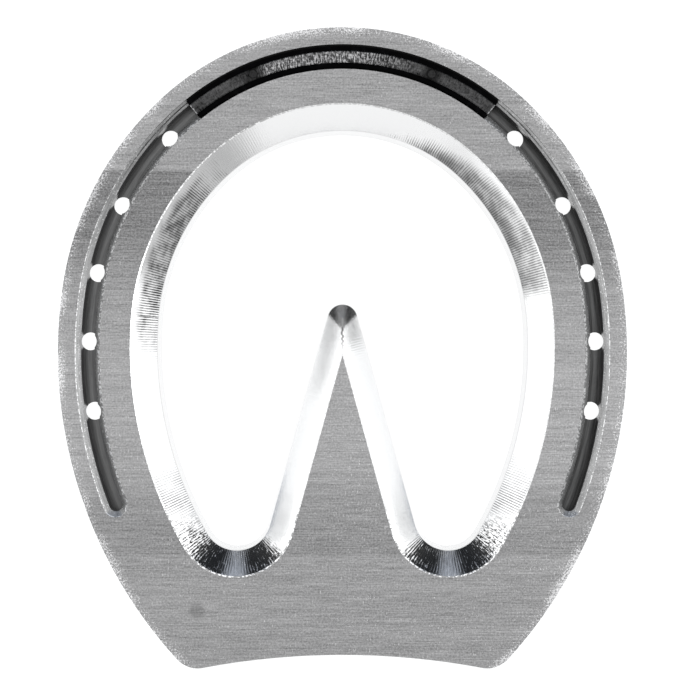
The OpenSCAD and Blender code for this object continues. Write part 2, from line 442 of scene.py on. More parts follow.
def crease_groove(bm, layout):
    """Right half of the crease, to its round end."""
    edge, crease = layout.edge, layout.crease
    rows = crease_rows(layout)
    middle_y = layout.toe_y - crease.inset
    geom = chain(bm, [Vector((0, middle_y + out, z)) for out, z in rows])
    arcs = (
        (layout.toe_c, edge.toe_turn, TOE_STEPS),
        (layout.quarter_c, edge.quarter_turn - edge.toe_turn, QUARTER_STEPS),
        (layout.branch_c, crease.end_turn - edge.quarter_turn, CREASE_REAR_STEPS),
    )
    for centre, turn, steps in arcs:
        geom = swing(bm, geom, centre, turn, steps)
    end = layout.inside_edge(crease.end_turn, crease.inset)
    outward = heading(crease.end_turn)
    outer = [e for e in section_edges(geom) if all((v.co - end).dot(outward) > -TINY for v in e.verts)]
    verts = list({v for e in outer for v in e.verts})
    swing(bm, verts + outer, end, math.pi, CREASE_END_STEPS)


def fill_level(bm, z):
    """Fills the face whose open edges lie at one height."""
    level = [e for e in bm.edges if e.is_boundary and all(abs(v.co.z - z) < TINY for v in e.verts)]
    bmesh.ops.triangle_fill(bm, edges=level, use_beauty=True, use_dissolve=False, normal=UP)


def fray(bm, layout, z):
    """Lets the burrs along the edges at one height stray a little."""
    wander = layout.hole.wander
    for vert in bm.verts:
        if abs(vert.co.z - z) < TINY and abs(vert.co.x) > MM:
            stray = noise.noise_vector(vert.co / BURR_GRAIN)
            amount = wander * (0.6 if vert.co.y < layout.lobe_c.y else 0.22)
            vert.co.x += amount * stray.x
            vert.co.y += amount * stray.y


def shade(bm, sharp=math.radians(10)):
    """Smooth faces with sharp edges where they meet at an angle."""
    for face in bm.faces:
        face.smooth = True
    for e in bm.edges:
        e.smooth = len(e.link_faces) == 2 and e.calc_face_angle(0) < sharp


def keep(bm, name, material, outwards=True):
    """Writes a bmesh to a new object in the scene."""
    if outwards:
        bmesh.ops.recalc_face_normals(bm, faces=bm.faces)
    shade(bm)
    mesh = bpy.data.meshes.new(name)
    bm.to_mesh(mesh)
    bm.free()
    obj = bpy.data.objects.new(name, mesh)
    bpy.context.scene.collection.objects.link(obj)
    if material:
        mesh.materials.append(material)
    return obj


def lathe(bm, centre, profile):
    """Turns a profile of (radius, height) pairs into a closed solid about a vertical axis."""
    points = [centre + Vector((radius, 0, z)) for radius, z in profile]
    geom = chain(bm, points)
    bmesh.ops.spin(
        bm,
        geom=geom,
        cent=centre,
        axis=UP,
        dvec=(0, 0, 0),
        angle=2 * math.pi,
        steps=LATHE_STEPS,
        use_merge=True,
        use_normal_flip=False,
        use_duplicate=False,
    )


def both_sides(point):
    """A point and its mirror image."""
    return point, Vector((-point.x, point.y, point.z))


def drills(layout):
    """Cutter for the nail holes and the rivet holes."""
    crease, bar = layout.crease, layout.bar
    over, small = MM, crease.hole_break
    bm = bmesh.new()
    hole_r = crease.hole_dia / 2
    nail = [
        (0, -over),
        (hole_r + small, -over),
        (hole_r + small, 0),
        (hole_r, small),
        (hole_r, layout.thickness + over),
        (0, layout.thickness + over),
    ]
    shank_r, head_r = bar.rivet_dia / 2 + bar.gap, bar.head_dia / 2 + bar.gap
    rivet = [(0, -over), (head_r, -over), (head_r, 0), (shank_r, bar.head_d)]
    rivet += [(shank_r, layout.thickness), (0, layout.thickness)]
    for turn, inset in zip(HOLE_TURNS, HOLE_INSETS):
        for centre in both_sides(layout.inside_edge(turn, inset)):
            lathe(bm, centre, nail)
    for centre in both_sides(layout.inside_edge(bar.rivet_turn, crease.inset)):
        lathe(bm, centre, rivet)
    bmesh.ops.remove_doubles(bm, verts=bm.verts, dist=TINY)
    return keep(bm, "drills", None)


def drill(obj, layout):
    """Cuts the holes out of an object for good."""
    cutter = drills(layout)
    cut = obj.modifiers.new("holes", "BOOLEAN")
    cut.operation, cut.solver, cut.object = "DIFFERENCE", "EXACT", cutter
    graph = bpy.context.evaluated_depsgraph_get()
    finished = bpy.data.meshes.new_from_object(obj.evaluated_get(graph))
    obj.modifiers.clear()
    old, obj.data = obj.data, finished
    bpy.data.meshes.remove(old)
    bpy.data.objects.remove(cutter)
    bm = bmesh.new()
    bm.from_mesh(finished)
    bmesh.ops.remove_doubles(bm, verts=bm.verts, dist=TINY)
    shade(bm)
    bm.to_mesh(finished)
    bm.free()


def bar_section(bm, layout, rows, turn):
    """A closed section swept round the toe, with its two ends filled."""
    points = [Vector((0, layout.toe_y - layout.crease.inset + out, z)) for out, z in rows]
    geom = chain(bm, points, closed=True)
    to_left_end = Matrix.Rotation(turn, 3, "Z")
    bmesh.ops.rotate(bm, verts=section_verts(geom), cent=layout.toe_c, matrix=to_left_end)
    steps = steps_for(2 * turn * layout.edge.toe_r, 0.5 * MM)
    last = swing(bm, geom, layout.toe_c, 2 * turn, steps)
    for ring in (geom, last):
        bmesh.ops.triangle_fill(bm, edges=section_edges(ring), use_beauty=True, use_dissolve=False)


# Shader tools ------------------------------------------------------------------------------


class Wire:
    """A node's output that Python's operators work on."""

    def __init__(self, bench, socket):
        self.bench, self.socket = bench, socket

    def __add__(self, other):
        return self.bench.math("ADD", self, other)

    __radd__ = __add__

    def __sub__(self, other):
        return self.bench.math("SUBTRACT", self, other)

    def __rsub__(self, other):
        return self.bench.math("SUBTRACT", other, self)

    def __mul__(self, other):
        return self.bench.math("MULTIPLY", self, other)

    __rmul__ = __mul__

    def __truediv__(self, other):
        return self.bench.math("DIVIDE", self, other)

    def grey(self):
        """A colour's brightness as a number."""
        return self.bench.node("ShaderNodeRGBToBW", inputs={"Color": self})


class Bench:
    """Adds nodes to one tree."""

    def __init__(self, tree):
        self.tree = tree

    def node(self, kind, settings=None, inputs=None, output=0):
        """One node: its settings and ramp stops first, then the values or links of its inputs."""
        made = self.tree.nodes.new(kind)
        for name, value in (settings or {}).items():
            if name == "stops":
                ramp = made.color_ramp
                while len(ramp.elements) < len(value):
                    ramp.elements.new(1)
                for element, (place, grey) in zip(ramp.elements, value):
                    element.position, element.color = place, (grey, grey, grey, 1)
            else:
                setattr(made, name, value)
        for name, value in (inputs or {}).items():
            self.feed(made.inputs[name], value)
        return Wire(self, made.outputs[output])

    def feed(self, socket, value):
        """Links a wire to a socket, or sets the socket's value."""
        if isinstance(value, Wire):
            self.tree.links.new(value.socket, socket)
        else:
            socket.default_value = value

    def math(self, operation, *values):
        """One Math node."""
        return self.node("ShaderNodeMath", {"operation": operation}, dict(enumerate(values)))

    def vector(self, x, y, z=0.0):
        """A vector from three numbers."""
        return self.node("ShaderNodeCombineXYZ", inputs={"X": x, "Y": y, "Z": z})

    def parts(self, vector):
        """The three numbers of a vector."""
        first = self.node("ShaderNodeSeparateXYZ", inputs={"Vector": vector})
        outputs = first.socket.node.outputs
        return [Wire(self, outputs[i]) for i in range(3)]

    def smooth(self, value, low, high, bottom=0.0, top=1.0):
        """A smooth step from bottom to top as value goes from low to high."""
        inputs = {"Value": value, "From Min": low, "From Max": high, "To Min": bottom, "To Max": top}
        return self.node("ShaderNodeMapRange", {"interpolation_type": "SMOOTHSTEP"}, inputs)

    def noise(self, vector, scale=1.0, detail=2.0, roughness=0.5):
        """Noise from 0 to 1."""
        inputs = {"Vector": vector, "Scale": scale, "Detail": detail, "Roughness": roughness}
        return self.node("ShaderNodeTexNoise", inputs=inputs)

    def mix(self, factor, first, second):
        """A colour between two colours."""
        inputs = {0: factor, 6: first, 7: second}
        return self.node("ShaderNodeMix", {"data_type": "RGBA"}, inputs, output=2)

    def tint(self, rgb, factor):
        """A colour times a number."""
        grey = self.node("ShaderNodeCombineColor", inputs={"Red": factor, "Green": factor, "Blue": factor})
        settings = {"data_type": "RGBA", "blend_type": "MULTIPLY"}
        return self.node("ShaderNodeMix", settings, {0: 1.0, 6: rgb, 7: grey}, output=2)


def rgba(value):
    """A property's colour with full alpha."""
    return (*value, 1.0)


def new_material(name):
    """A material with a bench and its Principled node."""
    material = bpy.data.materials.new(name)
    material.use_nodes = True
    tree = material.node_tree
    principled = next(n for n in tree.nodes if n.type == "BSDF_PRINCIPLED")
    return material, Bench(tree), principled


# Finishes ----------------------------------------------------------------------------------

# Lengths in materials are in millimetres, and turns in radians. Except for a colour, the numbers in a
# pair are where a smooth step starts and where it ends.
MID = 0.5  # middle of a noise
WHITE = (1, 1, 1, 1)
FLAT, UPRIGHT = (0.985, 0.998), (0.3, 0.1)  # how far a surface faces up or down
LEFT_SIDE, RIGHT_SIDE = (0.5, -0.5), (-0.5, 0.5)  # sign of X
AT_FACE, GROUND_HALF = (0.3, 0.05), (5.0, 6.0)  # distance from a face, height above the hoof face

# The plate's zones: inset from the outer edge, height above the hoof face, or place along X or Y
FACE_EDGE = (3.2, 0.2)
OUTER_WALL, OUTER_UPRIGHT = (0.6, 0.4), (0.2, 0.1)
# The heel constants place a painted shade line along the heel's lower edge
HEEL_SHADE_LINE, HEEL_MIDDLE, HEEL_WALL = (0.45, 0.3), (24.0, 14.0), (-66.0, -68.0)
SLOT_OUTER, SLOT_INNER = (1.0, 1.2), (12.0, 11.8)
SLOT_LOW, SLOT_REAR = (1.2, 1.5), (-61.5, -61.0)
BORE_EDGE, BORE_TOP = (2.12, 2.08), (4.45, 4.3)
OPENING_EDGE, OPENING_REAR = (12.0, 12.4), (-61.0, -60.6)
BRIGHTEST_CUT = 1.1

# Bands of light across the rolled face: each has its place, as a share of the reach along Y, and its
# grey
BAND_REACH = (-75.0, 75.0)
FACE_BANDS = (
    (0.0, 0.55), (0.192, 0.56), (0.2, 0.48), (0.27, 0.52), (0.33, 0.62), (0.47, 0.62),
    (0.6, 0.54), (0.68, 0.39), (0.779, 0.37), (0.7825, 0.64), (0.787, 0.55), (1.0, 0.54),
)

# The smudge: its middle, its radius squared and how much it darkens
SMUDGE_X, SMUDGE_Y, SMUDGE_SQUARE, SMUDGE_TONE = -33.2, -58.5, (6.0, 0.5), 0.35

# The crease: distance from its middle, outwards as negative, depth below the ground face, and turns
OUTER_CHAMFER, INNER_CHAMFER = (-1.2, -1.5), (1.5, 1.7)
CREASE_LIP, INNER_LIP, SLOT_FLOOR = (0.16, 0.08), (0.6, 0.3), (4.6, 5.2)
FLOOR_STREAK = (0.75, 0.15)
EARLY_TURN = (1.3, 0.85)
BLACK_OVER, BLACK_UNDER = 0.004, 0.006
# The crease wall tone is painted shade inside the slot
CREASE_WALL_SHADE, BLACKENED_TONE = 0.16, 0.012

# The opening: depth below the ground face, and how far a surface faces up
BEVEL_LIP, WALL_TOP, OPENING_WALL = (0.3, 0.12), (6.3, 5.4), (0.5, 0.3)

# The toe bar's run from its middle, clockwise as positive, and distances from a rivet's middle. The
# phase of the rivets' turned rings is in radians a millimetre.
BRIGHT_LEFT, BRIGHT_RIGHT, RIVET_PATCH = (-21.0, -16.0), (19.0, 4.0), (3.2, 0.8)
RING_PHASE, RIVET_RIM = 34.0, (0.72, 0.98)

# The stage: parts of a unit vector along Z or along Y
TENT_LOW, TENT_GAP, TENT_GLOW = (0.5, 0.2), (0.66, 0.8), (0.978, 0.997)
GAP_BLUE = (0.8, 0.87, 1.0, 1)
PAPER_GREY = (0.3, 0.3, 0.3, 1)
KEY_PLACE = (0.75, -0.05, 0.55)  # in metres


def smooth_line(bench, value, low, high):
    """A straight step from 0 to 1 as value goes from low to high."""
    inputs = {"Value": value, "From Min": low, "From Max": high}
    return bench.node("ShaderNodeMapRange", inputs=inputs)


def place_mm(bench):
    """Object coordinates in millimetres, as a vector and as three numbers."""
    place = bench.node("ShaderNodeTexCoord", output="Object")
    scaled = bench.node("ShaderNodeVectorMath", {"operation": "SCALE"}, {0: place, "Scale": 1 / MM})
    return scaled, bench.parts(scaled)


def facing(bench):
    """How far a surface faces each way."""
    normal = bench.node("ShaderNodeNewGeometry", output="True Normal")
    return bench.parts(normal)


def away_from(bench, x, y, centre):
    """Distance in millimetres from a vertical axis, with x taken as positive."""
    dx = x - centre.x / MM
    dy = y - centre.y / MM
    return bench.math("SQRT", dx * dx + dy * dy)


def beyond(bench, x, y, centre, turn):
    """1 past the ray that leaves a centre at a turn, and 0 before it."""
    side = (x - centre.x / MM) * math.cos(turn) - (y - centre.y / MM) * math.sin(turn)
    return bench.math("GREATER_THAN", side, 0.0)


def edge_distance(bench, layout, x, y):
    """Distance in from the outer edge in millimetres, for x taken as positive."""
    edge = layout.edge
    toe = edge.toe_r / MM - away_from(bench, x, y, layout.toe_c)
    quarter = edge.quarter_r / MM - away_from(bench, x, y, layout.quarter_c)
    branch = edge.branch_r / MM - away_from(bench, x, y, layout.branch_c)
    past_toe = beyond(bench, x, y, layout.toe_c, edge.toe_turn)
    past_quarter = beyond(bench, x, y, layout.quarter_c, edge.quarter_turn)
    rear = quarter + past_quarter * (branch - quarter)
    return toe + past_toe * (rear - toe)


def opening_polar(bench, layout, wide, y):
    """Run along the opening's edge and distance outwards from it, both in millimetres."""
    hole = layout.hole
    run, reach = None, None
    arcs = (
        (layout.open_toe_c, hole.toe_r, 0.0),
        (layout.open_quarter_c, hole.quarter_r, hole.toe_turn),
        (layout.open_branch_c, hole.branch_r, hole.quarter_turn),
        (layout.lobe_c, hole.lobe_r, hole.branch_turn),
    )
    before = layout.open_toe_c
    for centre, radius, turn in arcs:
        flip = -1.0 if centre is layout.lobe_c else 1.0
        sideways = wide - centre.x / MM
        ahead = (y - centre.y / MM) * flip
        new_run = bench.math("ARCTAN2", sideways, ahead) * ((radius + hole.bevel_w / 2) / MM)
        new_reach = away_from(bench, wide, y, centre) - radius / MM
        if run is None:
            run, reach = new_run, new_reach
        else:
            past = beyond(bench, wide, y, before, turn)
            run = run + past * (new_run - run)
            reach = reach + past * (new_reach - reach)
        before = centre
    return run, reach


class Spot:
    """Where a point of the plate lies, in millimetres, and which way it faces."""

    def __init__(self, bench, layout):
        self.place, (self.x, self.y, self.z) = place_mm(bench)
        self.wide = bench.math("ABSOLUTE", self.x)
        self.side = bench.math("SIGN", self.x)
        self.facing_x, self.facing_y, self.up = facing(bench)
        self.level = bench.math("ABSOLUTE", self.up)
        self.flat = bench.smooth(self.level, *FLAT)
        self.depth = layout.thickness / MM - self.z
        self.inset = edge_distance(bench, layout, self.wide, self.y)
        self.run, self.reach = opening_polar(bench, layout, self.wide, self.y)


def rolling_marks(bench, spot, along, across, shift=0.0, **grain):
    """Noise drawn out along X, as rolling leaves it, with its scales along and across."""
    return bench.noise(bench.vector(spot.x * along, spot.y * across, spot.z + shift), **grain)


def rolled_smudge(bench, spot, grain):
    """Dull round mark near the heel on the ground side."""
    dx = spot.x - SMUDGE_X
    dy = spot.y - SMUDGE_Y
    mark = bench.smooth(dx * dx + dy * dy, *SMUDGE_SQUARE) * bench.smooth(grain, 0.2, 0.6)
    return mark * bench.smooth(spot.z, *GROUND_HALF)


def rolled_tone(bench, spot):
    """Brightness, roughness change and height of the rolled face."""
    fine = rolling_marks(bench, spot, along=0.11, across=3.6, detail=3.0, roughness=0.7)
    hair = rolling_marks(bench, spot, along=0.32, across=7.5, detail=2.0)
    broad = rolling_marks(bench, spot, along=0.012, across=0.5, detail=4.0, roughness=0.65)
    grain = bench.noise(spot.place, scale=2.3, detail=3.0, roughness=0.75)
    along_shoe = smooth_line(bench, spot.y, *BAND_REACH)
    bands = bench.node("ShaderNodeValToRGB", {"stops": FACE_BANDS}, {"Fac": along_shoe})
    nick = bench.smooth(rolling_marks(bench, spot, along=4.5, across=0.75, detail=1.0), 0.68, 0.74)
    patch = bench.smooth(bench.noise(spot.place, scale=0.09, detail=2.0), 0.42, 0.62)
    edge_near = bench.smooth(spot.inset, *FACE_EDGE)
    speck = bench.noise(spot.place, scale=2.4, detail=3.0, roughness=0.8)
    burr = bench.smooth(speck + 0.1 * edge_near * (0.7 + patch), 0.62, 0.69) * (0.25 + 0.6 * edge_near)
    score = rolling_marks(bench, spot, along=0.03, across=1.6, shift=5.0, detail=2.0, roughness=0.6)
    scored = bench.smooth(score, 0.6, 0.72) - 0.8 * bench.smooth(score, 0.36, 0.27)
    lines = 1.2 * (fine - MID) + 0.5 * (hair - MID) + 0.5 * (broad - MID) + 0.16 * scored
    tone = -0.12 + 2.0 * bands.grey() + lines + 1.7 * (grain - MID) + 0.5 * nick * patch + 1.6 * burr
    tone = tone - SMUDGE_TONE * rolled_smudge(bench, spot, grain)
    height = 0.5 * fine + 0.3 * hair + 0.5 * grain + 1.2 * burr + 0.6 * nick
    return tone, 0.25 * (fine - MID) + 0.2 * (grain - MID), height


def crease_lip(bench, spot, away):
    """1 along the crease's edges, the inner one wider, and the beaded brightness they take."""
    beads = bench.smooth(bench.noise(spot.place, scale=1.7, detail=2.0), 0.47, 0.57)
    outer = bench.smooth(spot.depth, *CREASE_LIP)
    inner = bench.smooth(away, *INNER_CHAMFER) * bench.smooth(spot.depth, *INNER_LIP)
    return bench.math("MAXIMUM", outer, 0.8 * inner), 0.45 + 1.5 * beads


def crease_tone(bench, layout, spot):
    """Brightness of the crease, which the resin has blackened beside the bar, with painted shade on the
    slot's floor and walls.
    """
    away = spot.inset - layout.crease.inset / MM
    turn = bench.math("ARCTAN2", spot.wide, spot.y - layout.toe_c.y / MM)
    bar_end = layout.bar.turn
    beside_bar = bench.smooth(turn, bar_end + BLACK_OVER, bar_end - BLACK_UNDER)
    early = bench.smooth(turn, *EARLY_TURN)
    worn_at = bench.vector(turn * 9.0, away * 3.2, spot.side * 4.0)
    worn = bench.noise(worn_at, detail=4.0, roughness=0.65)
    streak = bench.smooth(bench.math("ABSOLUTE", away + 0.1), *FLOOR_STREAK)
    floor = spot.flat * bench.smooth(spot.depth, *SLOT_FLOOR)
    # Painted shade on the slot's floor, with painted light making its left side a little lighter
    painted_left_light = bench.smooth(spot.side, *LEFT_SIDE)
    floor_shade_tone = 0.075 + 0.05 * painted_left_light + 0.05 * streak + 0.22 * (worn - MID)
    scored = bench.smooth(bench.math("SINE", away * 9.0 + 2.0), 0.1, 0.9)
    outer = bench.smooth(away, *OUTER_CHAMFER)
    fleck = bench.smooth(bench.noise(spot.place, scale=2.6, detail=2.0, roughness=0.7), 0.6, 0.68)
    cut = 0.42 + 0.7 * (worn - MID) + 0.5 * fleck - 0.3 * early * outer * scored
    lip, lip_tone = crease_lip(bench, spot, away)
    cut = cut + lip * (1 - early * outer) * (lip_tone - cut)
    wall = bench.smooth(spot.level, *UPRIGHT)
    # The slot's dark walls are painted shade
    cut = cut + wall * (CREASE_WALL_SHADE - cut)
    tone = cut + floor * (floor_shade_tone - cut)
    return tone + beside_bar * (BLACKENED_TONE - tone)


class BevelMarks:
    """Marks of the cutter along the bevel, and how far the bevel has turned to face sideways."""

    def __init__(self, bench, layout, spot):
        run, reach, other = spot.run, spot.reach, spot.side * 7.0
        pitch = layout.hole.ridge_pitch / MM
        self.ridge = bench.math("SINE", run * (2 * math.pi / pitch) + 1.5 * spot.side)
        self.streak = bench.noise(bench.vector(run * 3.8, reach * 0.6, other), detail=3.0, roughness=0.7)
        broken_at = bench.vector(run * 2.2, reach * 1.5, other + 3.0)
        self.broken = bench.noise(broken_at, detail=4.0, roughness=0.7)
        self.cloud = bench.noise(bench.vector(run * 0.22, reach * 0.5, other), detail=3.0)
        self.sweep = -1.0 * spot.facing_x * spot.side
        self.tilt = bench.math("ABSOLUTE", self.sweep)


class BevelReflectionZones:
    """Stretches of the bevel, placed by position and facing, that take a painted reflection of their own,
    each from 0 to 1.
    """

    def __init__(self, bench, spot, marks):
        x, y, reach, side = spot.x, spot.y, spot.reach, spot.side
        facing_x, facing_y = spot.facing_x, spot.facing_y
        toward_toe = bench.smooth(facing_y, 0.1, 0.24) * bench.smooth(y, -19.0, -30.0)
        self.lobe = toward_toe * bench.smooth(y, -34.0, -42.0) * bench.smooth(marks.sweep, -0.6, -0.52)
        left = bench.smooth(facing_x, 0.40, 0.52) * bench.smooth(y, -5.0, 10.0)
        self.left_upper = left * bench.smooth(facing_y, -0.5, -0.4) * bench.smooth(side, *LEFT_SIDE)
        spread = smooth_line(bench, facing_x, -0.28, -0.67) * 5.6 + 0.6
        right = bench.smooth(reach - spread, 0.9, -1.2) * bench.smooth(facing_x, -0.24, -0.34)
        self.right_upper = right * bench.smooth(y, 12.0, 16.5) * bench.smooth(side, *RIGHT_SIDE)
        self.inner = bench.smooth(reach, 5.0, 3.4)
        worst = bench.smooth(y, 24.0, 14.0)
        ridged = self.left_upper * self.inner * (1.0 + 0.25 * worst) + 0.9 * self.right_upper
        branch = toward_toe * bench.smooth(y, -20.0, -38.0, 0.55, 1.3)
        branch = branch * bench.smooth(marks.sweep, 0.0, 0.3)
        self.ridged = ridged + branch * (1 - self.lobe)
        self.deep = self.left_upper * self.inner * bench.smooth(y, 44.0, 34.0) * bench.smooth(y, 12.0, 20.0)
        left_front = bench.smooth(x, -10.0, -20.0) * bench.smooth(y, 5.0, 15.0)
        self.beaded = bench.math("MAXIMUM", bench.smooth(y, -32.0, -38.0), 0.5 * left_front)


def ridged_reflection_tone(bench, spot, marks, zones):
    """Brightness of the bright bevel, with its ridges and its two greyed stretches, all painted reflection.
    """
    coarse = 0.34 * marks.ridge + 0.9 * marks.streak + 0.6 * marks.broken + 0.5 * marks.cloud
    dark = bench.smooth(coarse, 0.85, 1.3)
    dull = bench.smooth(marks.cloud, 0.45, 0.65)
    # Painted reflection: the ridges darken and two stretches turn grey by where the bevel faces
    tone = 1.06 - zones.ridged * 0.7 * dark - 0.2 * zones.left_upper * dull
    # Painted light: the frog plate's bevels are lifted brighter
    tone = tone + 0.1 * bench.smooth(spot.y, 5.0, -5.0)
    tone = tone * (1 - zones.deep * (0.2 + 0.34 * bench.smooth(marks.cloud, 0.4, 0.6)))
    low_side = bench.smooth(spot.reach, 3.4, 0.6)
    grey = 0.22 + 0.25 * low_side + 0.2 * bench.smooth(marks.cloud, 0.35, 0.6)
    return tone * (1 - zones.right_upper * grey)


def lobe_reflection_tone(bench, spot, marks):
    """Brightness of the lobes: painted dark reflection, nearly black, with painted bright specks and a paler
    fan of painted reflection at the middle.
    """
    tilt, reach = marks.tilt, spot.reach
    centre = bench.smooth(tilt, 0.2, 0.05)
    white_share = bench.smooth(tilt, 0.42, 0.68, 0.0, 0.13) + 0.035 * bench.smooth(reach, 2.5, 5.5)
    coarse = 0.5 * marks.streak + 0.5 * marks.broken + 0.03 * marks.ridge
    # Painted reflection: bright specks in the dark lobe, and a paler fan at the lobe's middle
    reflected_specks = bench.smooth(coarse + white_share, 0.555, 0.665)
    fan = centre * (0.42 + 0.9 * (marks.streak - MID) + 0.12 * bench.smooth(reach, 1.0, 5.0))
    speck_reflection_tone = bench.smooth(tilt, 0.35, 0.65, 0.6, 1.5)
    return 0.035 + speck_reflection_tone * reflected_specks * (1 - 0.75 * centre) + fan


def paint_tip_reflection(bench, layout, spot, marks, tone):
    """Paints the frog plate's tip near-black as painted reflection and draws the dark seam that runs back
    from it.
    """
    tip_r = layout.hole.frog_tip_r / MM
    tip_x = spot.x / tip_r
    tip_y = (spot.y - layout.tip_c.y / MM) / tip_r
    # Painted reflection: the tip's dark cap, with a paler fan down its middle
    point = tip_y + 0.72 - 1.05 * bench.math("ABSOLUTE", tip_x) + 1.6 * (marks.broken - MID)
    near_tip = bench.smooth(tip_x * tip_x + tip_y * tip_y, 1.12, 1.0) * bench.smooth(point, -0.1, 0.12)
    tip_fan = bench.smooth(bench.math("ABSOLUTE", tip_x + 0.1), 0.5, 0.1) * (0.3 + marks.streak)
    tip_reflection_tone = 0.06 + 0.22 * tip_fan + 0.25 * bench.smooth(marks.broken, 0.5, 0.62)
    tone = tone + near_tip * (tip_reflection_tone - tone)
    stray = bench.noise(bench.vector(0.0, spot.y * 0.9, 2.0), detail=3.0)
    seam_x = bench.math("ABSOLUTE", spot.x + 1.3 * (stray - MID))
    seam = bench.smooth(seam_x, 0.32, 0.1) * bench.smooth(spot.y, -1.0, 5.0)
    return tone * (1 - 0.8 * seam * bench.smooth(tip_y, -0.4, -0.7))


def bevel_tone(bench, layout, spot):
    """Brightness and height of the opening's bevel and wall; the bevel's brightness is painted reflection
    placed by position and facing, with its burr lip and wall laid over it.
    """
    marks = BevelMarks(bench, layout, spot)
    zones = BevelReflectionZones(bench, spot, marks)
    # The bevel's zones, lobes and tip get painted reflection
    tone = ridged_reflection_tone(bench, spot, marks, zones)
    tone = tone + zones.lobe * (lobe_reflection_tone(bench, spot, marks) - tone)
    tone = paint_tip_reflection(bench, layout, spot, marks, tone)
    beads = bench.smooth(bench.noise(spot.place, scale=1.9, detail=2.0), 0.46, 0.56)
    toe_lip = 0.75 + 0.25 * beads
    rear_lip = 0.35 + 1.0 * beads
    lip_tone = toe_lip + zones.beaded * (rear_lip - toe_lip)
    tone = tone + bench.smooth(spot.depth, *BEVEL_LIP) * (lip_tone - tone)
    wall = bench.smooth(spot.up, *OPENING_WALL)
    wall_tone = 0.82 - 0.25 * bench.smooth(spot.depth, *WALL_TOP)
    tone = tone + wall * (wall_tone - tone)
    rough_zone = bench.math("MAXIMUM", zones.lobe, 0.25 * zones.ridged)
    ridges = 0.06 * marks.ridge * (zones.ridged + zones.lobe)
    height = rough_zone * (0.35 * marks.streak + 0.3 * marks.broken) + 0.08 * marks.broken + ridges
    return tone, height


def plain_tone(bench, spot, cut_noise):
    """Brightness of the plate's other cut faces, with milled rows round the outside and a painted shade line
    along the heel's lower edge.
    """
    # Painted shade: a grey line along the heel's lower edge, fading towards the corners
    heel_shade_line = bench.smooth(spot.z, *HEEL_SHADE_LINE) * bench.smooth(spot.wide, *HEEL_MIDDLE)
    heel_shade_line = heel_shade_line * bench.smooth(spot.y, *HEEL_WALL)
    tone = (1.05 + 0.3 * (cut_noise - MID)) * (1 - 0.5 * heel_shade_line)
    rows_at = bench.vector(spot.x * 0.15, spot.y * 0.15, spot.z * 3.0)
    milled_rows = bench.noise(rows_at, detail=3.0, roughness=0.7)
    outside = bench.smooth(spot.level, *OUTER_UPRIGHT) * bench.smooth(spot.inset, *OUTER_WALL)
    return tone + outside * (0.42 + 0.5 * (milled_rows - MID) - tone)


def slot_zone(bench, layout, spot):
    """1 in the crease and its chamfers, and 0 in the nail holes' bores below it."""
    inside = bench.smooth(spot.inset, *SLOT_OUTER) * bench.smooth(spot.inset, *SLOT_INNER)
    slot = inside * bench.smooth(spot.z, *SLOT_LOW) * bench.smooth(spot.y, *SLOT_REAR)
    bore = 0.0
    for turn, step_in in zip(HOLE_TURNS, HOLE_INSETS):
        centre = layout.inside_edge(turn, step_in)
        near = bench.smooth(away_from(bench, spot.wide, spot.y, centre), *BORE_EDGE)
        bore = bench.math("MAXIMUM", bore, near)
    bore = bore * bench.smooth(spot.level, *UPRIGHT) * bench.smooth(spot.z, *BORE_TOP)
    return slot * (1 - bore)


def add_bump(bench, shader, strength, distance, height):
    """Feeds a height to the shader's normal, with its distance in millimetres."""
    inputs = {"Strength": strength, "Distance": distance * MM, "Height": height}
    bench.feed(shader.inputs["Normal"], bench.node("ShaderNodeBump", inputs=inputs))


def plate_metal(layout, finish):
    """Rolled aluminium with milled cuts, with bands of painted reflection across the rolled face, painted
    reflection on the bevel, and painted shade in the crease and along the heel's lower edge.
    """
    material, bench, shader = new_material("plate_aluminium")
    spot = Spot(bench, layout)
    at_face = bench.math("MAXIMUM", bench.smooth(spot.depth, *AT_FACE), bench.smooth(spot.z, *AT_FACE))
    face = spot.flat * at_face
    opening = bench.smooth(spot.inset, *OPENING_EDGE) * bench.smooth(spot.y, *OPENING_REAR)
    slot = slot_zone(bench, layout, spot)

    rolled, rough_change, face_height = rolled_tone(bench, spot)
    cut_noise = bench.noise(spot.place, scale=1.4, detail=3.0)
    plain = plain_tone(bench, spot, cut_noise)
    groove = crease_tone(bench, layout, spot)
    bevel, bevel_height = bevel_tone(bench, layout, spot)
    cut = plain + slot * (groove - plain)
    cut = bench.math("MINIMUM", cut + opening * (bevel - cut), BRIGHTEST_CUT)
    base = bench.mix(face, bench.tint(rgba(finish.milled), cut), bench.tint(rgba(finish.aluminium), rolled))
    bench.feed(shader.inputs["Base Color"], base)
    shader.inputs["Metallic"].default_value = 1.0
    cut_rough = finish.cut_rough + 0.1 * (cut_noise - MID) + 0.14 * slot
    face_rough = finish.face_rough + rough_change
    bench.feed(shader.inputs["Roughness"], cut_rough + face * (face_rough - cut_rough))

    cut_height = 0.2 * cut_noise + opening * 4.0 * bevel_height
    height = cut_height + face * (face_height - cut_height)
    add_bump(bench, shader, strength=0.8, distance=0.03, height=height)
    return material


